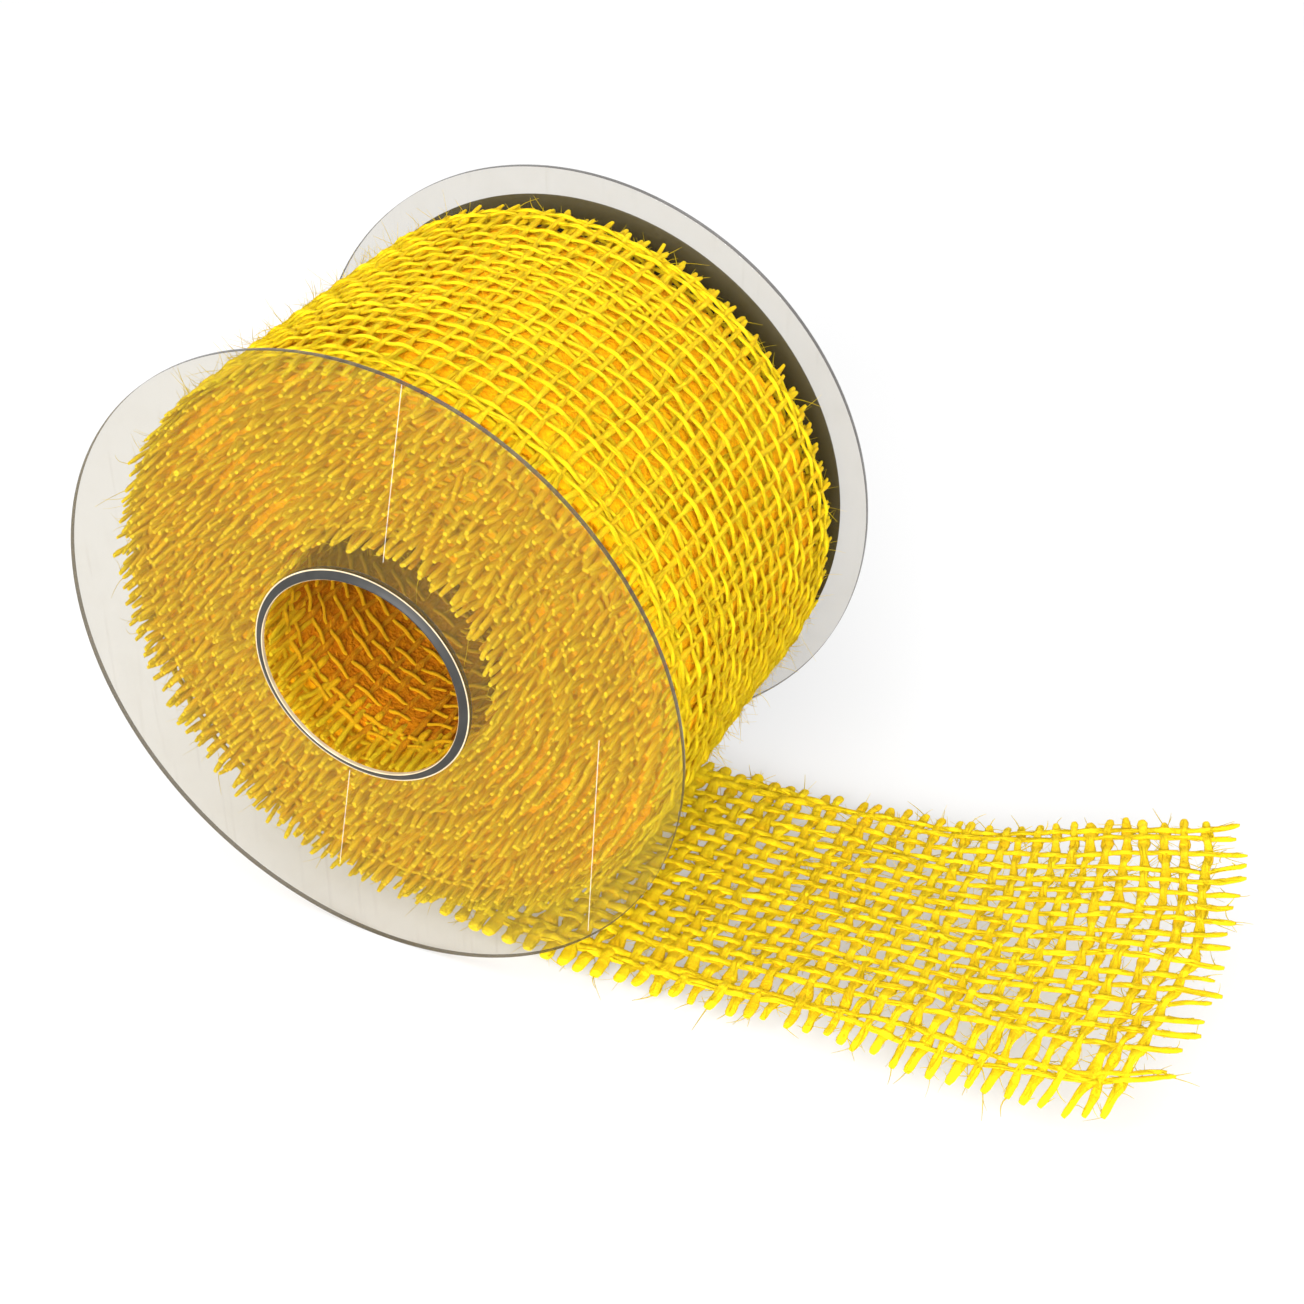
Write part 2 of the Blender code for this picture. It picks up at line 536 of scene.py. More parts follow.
@dataclass(frozen=True)
class ClearPlasticFinish:
    """Thin clear plastic sheet: a pale veil with a sharp gloss."""

    name: str
    color: Color = (0.12, 0.085, 0.012)
    veil: float = 0.155
    grazing_veil: float = 0.27
    shadow_veil: float = 0.04
    scuff_veil: float = 0.05
    dust_veil: float = 0.02
    roughness: float = 0.06
    scuff_roughness: float = 0.28
    crease_color: Color = (0.85, 0.80, 0.70)
    crease_veil: float = 0.20
    creases: tuple[Hairline, ...] = ()

    def make(self, groups: Groups, place: SpoolPlace) -> Material:
        """Build the material.

        Args:
            groups: The shared effects.
            place: Where the spool's axis is.

        Returns:
            The material.
        """
        material, tree, shader = start_material(self.name)
        wear = place_group(tree, groups.wear)
        facing = tree.node("ShaderNodeLayerWeight", {"Blend": 0.35})
        veil = tree.span(facing.outputs["Facing"], (0.0, 1.0), (self.veil, self.grazing_veil))
        scuffs = tree.math("MULTIPLY", wear.outputs["Scuff"], self.scuff_veil)
        marks = tree.math("ADD", scuffs, tree.math("MULTIPLY", wear.outputs["Dust"], self.dust_veil))
        color = self.color
        if self.creases:
            lines = self.crease_lines(tree, groups, place)
            color = tree.blend_colors(lines, self.color, self.crease_color)
            marks = tree.math("ADD", marks, tree.math("MULTIPLY", lines, self.crease_veil))
        light_path = tree.node("ShaderNodeLightPath")
        lit = tree.math("SUBTRACT", 1.0, light_path.outputs["Is Shadow Ray"])
        passing = tree.span(lit, (0.0, 1.0), (self.shadow_veil, 1.0))
        values = {
            "Base Color": color,
            "Alpha": tree.math("MULTIPLY", tree.math("ADD", veil, marks), passing),
            "Roughness": tree.span(wear.outputs["Scuff"], (0.0, 1.0), (self.roughness, self.scuff_roughness)),
            "Specular IOR Level": 0.4,
            "IOR": 1.5,
        }
        tree.feed(shader, values)
        return material

    def crease_lines(self, tree: Tree, groups: Groups, place: SpoolPlace) -> Socket:
        """Lay the creases in a material.

        Args:
            tree: The material's tree.
            groups: The shared effects.
            place: Where the spool's axis is.

        Returns:
            The mask of all of them.
        """
        lines = [
            place_group(
                tree,
                groups.hairline,
                foot=place.axis_x + crease.offset - crease.lean * place.axis_z,
                lean=crease.lean,
                bottom=place.axis_z + crease.bottom,
                top=place.axis_z + crease.top,
                depth=-(place.inner_face + place.outer_face) / 2,
            ).outputs["Line"]
            for crease in self.creases
        ]
        return reduce(lambda first, second: tree.math("MAXIMUM", first, second), lines)


@dataclass(frozen=True)
class SolidPlasticFinish:
    """Smooth moulded plastic with light scuffs."""

    name: str
    color: Color
    roughness: float = 0.30
    alpha: float = 1.0
    gloss: float = 0.5

    def make(self, groups: Groups) -> Material:
        """Build the material.

        Args:
            groups: The shared effects.

        Returns:
            The material.
        """
        material, tree, shader = start_material(self.name)
        wear = place_group(tree, groups.wear)
        pale = tuple(min(1.0, channel * 1.5 + 0.006) for channel in self.color)
        ends = (self.roughness, min(1.0, self.roughness + 0.2))
        values = {
            "Base Color": tree.blend_colors(wear.outputs["Dust"], self.color, pale),
            "Roughness": tree.span(wear.outputs["Scuff"], (0.0, 1.0), ends),
            "Alpha": self.alpha,
            "Specular IOR Level": self.gloss,
        }
        tree.feed(shader, values)
        return material


@dataclass(frozen=True)
class PaperFinish:
    """Dark printed paper with a faint fibre and a satin varnish."""

    name: str
    ink: Color = (0.008, 0.008, 0.006)
    worn: Color = (0.026, 0.026, 0.021)
    line: Color = (0.32, 0.31, 0.28)
    line_margin: float = 0.0075
    line_width: float = 0.00045

    def make(self, place: SpoolPlace) -> Material:
        """Build the material.

        Args:
            place: Where the label's rim is.

        Returns:
            The material.
        """
        material, tree, shader = start_material(self.name)
        coords = tree.node("ShaderNodeTexCoord").outputs["Object"]
        mottle = tree.span(tree.noise(coords, 1900.0, 4.0, 0.7), (0.35, 0.70))
        centred = {"Vector": coords, "Location": -place.axis, "Scale": (1.0, 0.0, 1.0)}
        middle = tree.node("ShaderNodeMapping", centred)
        length = tree.node("ShaderNodeVectorMath", {0: middle.outputs["Vector"]}, operation="LENGTH")
        ring = place.label_radius - self.line_margin
        away = tree.math("ABSOLUTE", tree.math("SUBTRACT", length.outputs["Value"], ring))
        mask = tree.math("LESS_THAN", away, self.line_width)
        paper = tree.blend_colors(mottle, self.ink, self.worn)
        values = {
            "Base Color": tree.blend_colors(mask, paper, self.line),
            "Roughness": tree.span(mottle, (0.0, 1.0), (0.42, 0.60)),
            "Normal": tree.bump(mottle, 0.25, 0.00003),
        }
        tree.feed(shader, values)
        return material


@dataclass(frozen=True)
class FloorFinish:
    """Plain pale table top, lit from below like a light table."""

    name: str = "pale_table"
    color: Color = (0.37, 0.37, 0.37)
    glow: float = 0.37

    def make(self) -> Material:
        """Build the material.

        Returns:
            The material.
        """
        material, tree, shader = start_material(self.name)
        values = {
            "Base Color": self.color,
            "Emission Color": (1.0, 1.0, 1.0),
            "Emission Strength": self.glow,
            "Roughness": 0.85,
            "Specular IOR Level": 0.1,
        }
        tree.feed(shader, values)
        return material


# ---- strands


def sweep_group(sides: int, flat: float) -> bpy.types.NodeTree:
    """Geometry nodes that turn centre lines into closed tubes and keep the place round the section.

    Args:
        sides: Sides of each tube.
        flat: Thickness of the section as a share of its width; 1 is round.

    Returns:
        The node group.
    """
    group = bpy.data.node_groups.new(f"sweep_{sides}", "GeometryNodeTree")
    group.interface.new_socket(name="Lines", in_out="INPUT", socket_type="NodeSocketGeometry")
    group.interface.new_socket(name="Tubes", in_out="OUTPUT", socket_type="NodeSocketGeometry")
    tree = Tree(group)
    entry = tree.node("NodeGroupInput")
    to_curve = tree.node("GeometryNodeMeshToCurve", {"Mesh": entry.outputs["Lines"]})
    turn = tree.node("GeometryNodeSetCurveNormal", mode="FREE" if flat < 1 else "MINIMUM_TWIST")
    tree.feed(turn, {"Curve": to_curve.outputs["Curve"]})
    if flat < 1:
        up = tree.node("GeometryNodeInputNamedAttribute", {"Name": "up"}, data_type="FLOAT_VECTOR")
        tree.feed(turn, {"Normal": up.outputs["Attribute"]})
    circle = tree.node("GeometryNodeCurvePrimitiveCircle", {"Resolution": sides, "Radius": 1.0})
    place = tree.node("GeometryNodeInputPosition")
    kept = {"Geometry": circle.outputs["Curve"], "Name": "section", "Value": place.outputs["Position"]}
    store = tree.node("GeometryNodeStoreNamedAttribute", kept, data_type="FLOAT_VECTOR", domain="POINT")
    pressed = {"Geometry": store.outputs["Geometry"], "Scale": (flat, 1.0, 1.0)}
    press = tree.node("GeometryNodeTransform", pressed)
    thick = tree.node("GeometryNodeInputNamedAttribute", {"Name": "thickness"}, data_type="FLOAT")
    swept = {
        "Curve": turn.outputs["Curve"],
        "Profile Curve": press.outputs["Geometry"],
        "Scale": thick.outputs["Attribute"],
        "Fill Caps": True,
    }
    sweep = tree.node("GeometryNodeCurveToMesh", swept)
    tree.feed(tree.node("NodeGroupOutput"), {"Tubes": sweep.outputs["Mesh"]})
    return group


@dataclass
class Strands:
    """Centre lines of many yarns or hairs, swept into closed tubes together."""

    points: list[Array] = field(default_factory=list)
    ups: list[Array] = field(default_factory=list)
    radii: list[Array] = field(default_factory=list)
    lengths: list[Array] = field(default_factory=list)
    tones: list[Array] = field(default_factory=list)

    def add(self, line: Array, up: Array, radius: Array, tone: float | Array) -> None:
        """Add one strand.

        Args:
            line: Its points, one row each.
            up: The direction that its thickness is measured in, at each point.
            radius: Its half width at each point.
            tone: Its shade, from 0 to 1, all along or at each point.
        """
        steps = np.linalg.norm(np.diff(line, axis=0), axis=1)
        self.points.append(line)
        self.ups.append(up)
        self.radii.append(radius)
        self.lengths.append(np.concatenate(([0.0], np.cumsum(steps))))
        self.tones.append(np.broadcast_to(tone, len(line)))

    def sweep(self, name: str, sides: int, material: Material, flat: float = 1.0) -> Piece:
        """Make the strands one piece.

        Args:
            name: The piece's name.
            sides: Sides of each tube.
            material: Its finish.
            flat: Thickness of the section as a share of its width.

        Returns:
            The piece.
        """
        counts = np.array([len(line) for line in self.points])
        points = np.concatenate(self.points)
        first = np.arange(len(points))
        keep = np.ones(len(points), bool)
        keep[np.cumsum(counts) - 1] = False
        edges = np.column_stack((first[keep], first[keep] + 1))
        mesh = bpy.data.meshes.new(name + "_lines")
        mesh.vertices.add(len(points))
        mesh.vertices.foreach_set("co", points.astype(np.float32).ravel())
        mesh.edges.add(len(edges))
        mesh.edges.foreach_set("vertices", edges.astype(np.int32).ravel())
        for label, values in (("thickness", self.radii), ("along", self.lengths), ("tone", self.tones)):
            data = mesh.attributes.new(label, "FLOAT", "POINT").data
            data.foreach_set("value", np.concatenate(values).astype(np.float32))
        data = mesh.attributes.new("up", "FLOAT_VECTOR", "POINT").data
        data.foreach_set("vector", np.concatenate(self.ups).astype(np.float32).ravel())
        lines = link_object(name + "_lines", mesh)
        lines.modifiers.new("sweep", "NODES").node_group = sweep_group(sides, flat)
        graph = bpy.context.evaluated_depsgraph_get()
        source = lines.evaluated_get(graph)
        tubes = bpy.data.meshes.new_from_object(source, preserve_all_data_layers=True, depsgraph=graph)
        bpy.data.objects.remove(lines, do_unlink=True)
        tubes.name = name
        for label in ("thickness", "up"):
            tubes.attributes.remove(tubes.attributes[label])
        tubes.shade_smooth()
        return link_object(name, tubes, material)


# ---- the surfaces that the ribbon follows


class RibbonSurface(Protocol):
    """What the weave is laid on."""

    def place(self, along: Array, across: Array, height: Array) -> tuple[Array, Array]:
        """Points in space, and the ribbon's outward direction there, from places on the ribbon."""


@dataclass(frozen=True)
class Spiral:
    """The wound ribbon's path: a spiral whose outer end is at the bottom of the roll.

    The turns lie close on the core and again at the outside, where the openings of one turn take in
    the yarns of the next. The outer turns also stand off a little on one side, where the roll is slack.
    """

    axis_x: float
    axis_z: float
    inner: float
    outer: float
    turns: int
    inner_turns: int
    outer_turns: int
    close_pitch: float = 0.00044
    end_angle: float = -math.pi / 2
    bulge: float = 0.0014
    bulge_angle: float = 0.60
    steps: int = 64

    def radius_at(self, turn: Array) -> Array:
        """Radius of the ribbon's middle surface at a turn number, before any slack."""
        knots = (0.0, self.inner_turns, self.turns - self.outer_turns, self.turns)
        radii = (
            self.inner,
            self.inner + self.close_pitch * self.inner_turns,
            self.outer - self.close_pitch * self.outer_turns,
            self.outer,
        )
        return np.interp(turn, knots, radii)

    def slack_at(self, turn: Array, angle: Array) -> Array:
        """How far the ribbon stands off at a turn number and an angle about the axis."""
        share = ease((turn - 0.7 * self.turns) / (0.25 * self.turns))
        return self.bulge * share * (0.5 + 0.5 * np.cos(angle - self.bulge_angle)) ** 2

    def table(self) -> tuple[Array, Array]:
        """Turn numbers and the length of ribbon wound up to each."""
        turns = np.linspace(0.0, self.turns, self.turns * self.steps + 1)
        middle = self.radius_at((turns[1:] + turns[:-1]) / 2)
        return turns, np.concatenate(([0.0], np.cumsum(middle * math.tau / self.steps)))

    def length_to(self, turn: float) -> float:
        """Length of ribbon from the inner end to a turn number."""
        return float(np.interp(turn, *self.table()))

    def place(self, along: Array, across: Array, height: Array) -> tuple[Array, Array]:
        """Points in space on the wound ribbon.

        Args:
            along: Length of ribbon from its inner end.
            across: Place across the ribbon, towards the rear disc.
            height: Height outwards from the ribbon's middle surface.

        Returns:
            One row for each point, and the outward direction there.
        """
        turns, lengths = self.table()
        turn = np.interp(along, lengths, turns)
        angle = self.end_angle + math.tau * (turn - self.turns)
        slack = self.slack_at(turn, angle)
        ripple = 0.00022 * np.sin(3 * angle + 1.7 * turn) * np.cos(across * 95.0 + turn) * ease(turn - 2.0)
        radius = self.radius_at(turn) + height + slack + ripple
        shift = 0.0005 * np.sin(2.3 * turn + 0.7) + 0.0003 * np.sin(angle * 0.61 + 2.0)
        outward = np.column_stack((np.cos(angle), np.zeros_like(angle), np.sin(angle)))
        middle = (np.full_like(angle, self.axis_x), across + shift, np.full_like(angle, self.axis_z))
        return np.column_stack(middle) + outward * radius[:, None], outward


@dataclass(frozen=True)
class LooseSurface:
    """The loose end's surface: it drops from under the roll, lies down and curls up at the cut."""

    axis_x: float
    start_height: float
    reach: float
    half_width: float = 0.0250
    landing: float = 0.0220
    rest_height: float = 0.00105
    curl_rise: float = 0.0148
    twist_start: float = 0.0640
    twist_end: float = 0.1000
    twist_slope: float = 0.16
    shift: float = -0.00175
    cut_bow: float = 0.0042
    cut_skew: float = 0.0005
    droop_from: float = 0.0160
    droop: float = 0.42
    lowest: float = 0.00095
    steps: int = 400

    def height_at(self, along: Array, across: Array) -> Array:
        """Height above the table, from places measured from the spool's axis."""
        drop = (self.start_height - self.rest_height) * (1 - ease(along / self.landing))
        curl = np.clip((along - self.landing) / (self.reach - self.landing), 0.0, None)
        twist = self.twist_slope * ease((along - self.twist_start) / (self.twist_end - self.twist_start))
        ripple = 0.0004 * np.sin(along * 150.0 + across * 60.0) * ease((along - 0.03) / 0.03)
        hang = self.droop * np.clip(-across - self.droop_from, 0.0, None) * ease((along - 0.05) / 0.03)
        height = self.rest_height + drop + self.curl_rise * curl * curl + twist * across + ripple - hang
        return np.maximum(height, self.lowest)

    def place(self, along: Array, across: Array, height: Array) -> tuple[Array, Array]:
        """Points in space on the loose end.

        Args:
            along: Length of ribbon from under the spool's axis.
            across: Place across the ribbon, towards the rear disc.
            height: Height upwards from the ribbon's middle surface.

        Returns:
            One row for each point, and the upward direction there.
        """
        table = np.linspace(-0.01, 1.1 * self.reach, self.steps)
        level = self.height_at(table, np.zeros_like(table))
        paced = np.concatenate(([0.0], np.cumsum(np.hypot(np.diff(table), np.diff(level)))))
        paced -= np.interp(0.0, table, paced)
        share = across / self.half_width
        drawn = (self.cut_bow * share * share + self.cut_skew * share) * ease((along - 0.045) / 0.055)
        x = np.interp(along, paced, table) - drawn
        slope = (self.height_at(x + 5e-4, across) - self.height_at(x - 5e-4, across)) / 1e-3
        lean = 1 / np.sqrt(1 + slope * slope)
        upward = np.column_stack((-slope * lean, np.zeros_like(lean), lean))
        foot = np.column_stack((self.axis_x + x, across + self.shift, self.height_at(x, across)))
        return foot + upward * height[:, None], upward


# ---- the weave


@dataclass(frozen=True)
class WeaveSizes:
    """Sizes of the open plain weave, in metres; a yarn's radius is half its width."""

    warp_count: int = 19
    warp_pitch: float = 0.00250
    weft_pitch: float = 0.00270
    warp_radius: float = 0.00034
    weft_radius: float = 0.00041
    flat: float = 0.64
    warp_crimp: float = 0.00020
    weft_crimp: float = 0.00010
    warp_lift: float = 0.00012
    near_fringe: float = 0.0039
    far_fringe: float = 0.0023
    edge_squeeze: float = 0.45
    span: float = 0.0520


class Side(Enum):
    """Which long edge of the ribbon."""

    NEAR = -1
    FAR = 1


@dataclass
class Weave:
    """Lays warps and wefts of one ribbon on a surface."""

    surface: RibbonSurface
    rng: np.random.Generator
    sizes: WeaveSizes = field(default_factory=WeaveSizes)
    fine: int = 3
    wander: float = 0.00028
    splay: float = 0.00022
    swell: float = 0.0
    swell_end: float = 0.070
    warp_tones: tuple[float, float] = (0.45, 1.0)
    weft_tones: tuple[float, float] = (0.10, 0.65)

    def across_of(self, place: Array) -> Array:
        """Distance across the ribbon of a place counted in warps."""
        return -self.sizes.span / 2 + self.sizes.near_fringe + place * self.sizes.warp_pitch

    def fullness(self, along: Array) -> Array:
        """How much wider the yarns lie near the ribbon's start."""
        return 1 + self.swell * (1 - ease(along / self.swell_end))

    def radius_along(self, base: float, length: Array) -> Array:
        """Uneven yarn radius with a few slubs."""
        coarse = smooth_noise(self.rng, length, 0.0035, 0.10)
        uneven = coarse + smooth_noise(self.rng, length, 0.0011, 0.08)
        slub = np.clip(smooth_noise(self.rng, length, 0.006, 1.0) - 1.7, 0.0, 0.8) * 0.55
        return base * (1 + uneven + slub)

    def lay_warp(self, strands: Strands, number: int, first: float, last: float, tail: float = 0.0) -> None:
        """Lay one lengthwise yarn.

        Args:
            strands: Where it goes.
            number: Its number from the near edge.
            first: Where it starts, counted in wefts.
            last: Its last weft.
            tail: Free length past the last weft.
        """
        sizes = self.sizes
        step = 1.0 / self.fine
        count = np.arange(first, last + tail / sizes.weft_pitch + step / 2, step)
        along = count * sizes.weft_pitch
        past = np.clip(count - last, 0.0, None) * (tail > 0)
        wave = np.cos(math.pi * (count + number))
        height = sizes.warp_crimp * wave * (1 - ease(past / 2)) + sizes.warp_lift
        side = smooth_noise(self.rng, along, 0.012, self.wander)
        side = side + smooth_noise(self.rng, along, 0.0030, self.wander * 0.30)
        side = side + self.rng.normal(0.0, self.splay) * past
        height = height + self.rng.normal(0.0, self.splay) * past
        edge = min(number, sizes.warp_count - 1 - number)
        inwards = 1 if number < sizes.warp_count / 2 else -1
        squeeze = sizes.edge_squeeze * math.exp(-((edge - 1) ** 2) / 0.5) * inwards
        place = number - (squeeze if edge > 0 else 0.0)
        line, up = self.surface.place(along, self.across_of(np.full_like(along, place)) + side, height)
        radius = self.radius_along(sizes.warp_radius, along) * self.fullness(along)
        radius[-1] *= 0.6
        # Painted shade: the tone follows the crimp wave, so the warp is paler where it rises over a weft and
        # darker where it dips under one.
        tone = self.rng.uniform(*self.warp_tones) + 0.25 * wave
        strands.add(line, up, radius, np.clip(tone, 0.0, 1.0))

    def lay_weft(self, strands: Strands, number: float, low: float, high: float) -> None:
        """Lay one crosswise yarn.

        Args:
            strands: Where it goes.
            number: Its number from the ribbon's start.
            low: Where it starts, counted in warps; below 0 it stands out as fringe.
            high: Where it ends, counted in warps; past the last warp it stands out as fringe.
        """
        sizes = self.sizes
        step = 1.0 / self.fine
        count = np.arange(low, high + step / 2, step)
        across = self.across_of(count)
        past = np.clip(np.maximum(-count, count - (sizes.warp_count - 1)), 0.0, None)
        wave = np.cos(math.pi * (count + number)) * (1 - ease(past / 1.2))
        height = -sizes.weft_crimp * wave
        bend = smooth_noise(self.rng, across, 0.010, self.wander)
        bend = bend + smooth_noise(self.rng, across, 0.0030, self.wander * 0.30)
        along = number * sizes.weft_pitch + self.rng.normal(0.0, 0.00016) + bend
        along = along + self.rng.normal(0.0, self.splay) * past
        height = height + self.rng.normal(0.0, self.splay * 0.7) * past
        line, up = self.surface.place(along, across, height)
        radius = self.radius_along(sizes.weft_radius, across) * self.fullness(along)
        radius = radius * (1 + 0.22 * wave - 0.12 * np.clip(past, 0.0, 1.0))
        radius[0] *= 0.72
        radius[-1] *= 0.72
        # Painted shade: below, the tone follows the crimp wave, so the weft is paler where it rises over a
        # warp and darker where it dips under one.
        tone = self.rng.uniform(*self.weft_tones)
        tone = tone - 0.35 * wave + 0.60 * np.clip(past - 0.5, 0.0, 1.0)
        strands.add(line, up, radius, np.clip(tone, 0.0, 1.0))

    def fringe(self, side: Side) -> float:
        """Uneven fringe length at one edge, counted in warps."""
        base = self.sizes.near_fringe if side is Side.NEAR else self.sizes.far_fringe
        return base * self.rng.uniform(0.82, 1.06) / self.sizes.warp_pitch

    def lay_full(self, strands: Strands, first: int, last: int, start: float, cut: float = 0.0) -> None:
        """Lay a whole stretch of ribbon.

        Args:
            strands: Where it goes.
            first: Its first weft.
            last: Its last weft.
            start: Where its warps start, counted in wefts.
            cut: Longest free warp end past the last weft.
        """
        top = self.sizes.warp_count - 1
        for number in range(top + 1):
            tail = cut * self.rng.uniform(0.75, 1.0)
            self.lay_warp(strands, number, start, last if cut else last + 1, tail)
        for number in range(first, last + 1):
            self.lay_weft(strands, number, -self.fringe(Side.NEAR), top + self.fringe(Side.FAR))


# ---- the wound ribbon


@dataclass
class Fuzz:
    """Loose hairs that stand off the yarns, and fibres that lie along them."""

    rng: np.random.Generator
    shortest: float = 0.0010
    longest: float = 0.0034
    thickness: float = 0.000038
    fibre_thickness: float = 0.000075
    lowest: float = 0.0001

    def pick(self, source: Strands, count: int) -> Array:
        """Choose strands at random, the long ones more often."""
        sizes = np.array([len(line) for line in source.points])
        return self.rng.choice(len(sizes), count, p=sizes / sizes.sum())

    def grow(
        self, hairs: Strands, source: Strands, count: int, spread: float = 1.0, rise: float = 0.7
    ) -> None:
        """Grow hairs from random places on strands.

        Args:
            hairs: Where they go.
            source: The strands that they grow from.
            count: How many.
            spread: How wide they splay.
            rise: How far they may stand up.
        """
        for number in self.pick(source, count):
            line = source.points[number]
            start = int(self.rng.integers(0, len(line) - 1))
            run = line[start + 1] - line[start]
            run = run / np.linalg.norm(run) * self.rng.choice((-1.0, 1.0))
            forward, upward = self.rng.uniform(0.5, 1.2), self.rng.uniform(0.1, 1.0) * rise
            aim = run * forward + source.ups[number][start] * upward
            flatten = np.array((1.0, 1.0, min(1.0, rise * 1.5)))
            aim = aim + self.rng.normal(0.0, 0.35 * spread, 3) * flatten
            aim = aim / np.linalg.norm(aim)
            curl = self.rng.normal(0.0, 0.55 * spread, 3) * flatten
            length = self.rng.uniform(self.shortest, self.longest)
            share = np.linspace(0.0, 1.0, 5)[:, None]
            hair = line[start] + length * (aim * share + curl * share * share * 0.6)
            hair[:, 2] = np.maximum(hair[:, 2], self.lowest)
            width = self.thickness * self.rng.uniform(0.6, 1.3) * np.array((1.2, 1.0, 0.85, 0.65, 0.35))
            hairs.add(hair, np.tile((0.0, 0.0, 1.0), (5, 1)), width, self.rng.uniform(0.7, 1.0))

    def lay_fibres(self, fibres: Strands, source: Strands, count: int, flat: float, reach: int = 7) -> None:
        """Lay raised fibres along random stretches of yarn.

        Args:
            fibres: Where they go.
            source: The yarns.
            count: How many.
            flat: Thickness of the yarns as a share of their width.
            reach: Points of a yarn that one fibre follows.
        """
        for number in self.pick(source, count):
            line = source.points[number]
            if len(line) < reach + 1:
                continue
            start = int(self.rng.integers(0, len(line) - reach))
            part = slice(start, start + reach)
            up, radius = source.ups[number][part], source.radii[number][part][:, None]
            run = np.gradient(line[part], axis=0)
            side = np.cross(run / np.linalg.norm(run, axis=1)[:, None], up)
            turn = self.rng.uniform(-1.3, 1.3) + np.linspace(0.0, self.rng.normal(0.0, 0.9), reach)[:, None]
            from_middle = np.abs(np.linspace(-1.0, 1.0, reach)[:, None])
            lift = 0.95 + 0.5 * from_middle**3 * self.rng.uniform(0.2, 1.0)
            fibre = line[part] + radius * lift * (up * flat * np.cos(turn) + side * np.sin(turn))
            fibre[:, 2] = np.maximum(fibre[:, 2], self.lowest)
            width = self.fibre_thickness * self.rng.uniform(0.6, 1.3) * np.ones(reach)
            width[[0, -1]] *= 0.4
            fibres.add(fibre, up, width, self.rng.choice((0.0, 0.3, 0.7, 0.9, 1.0)))


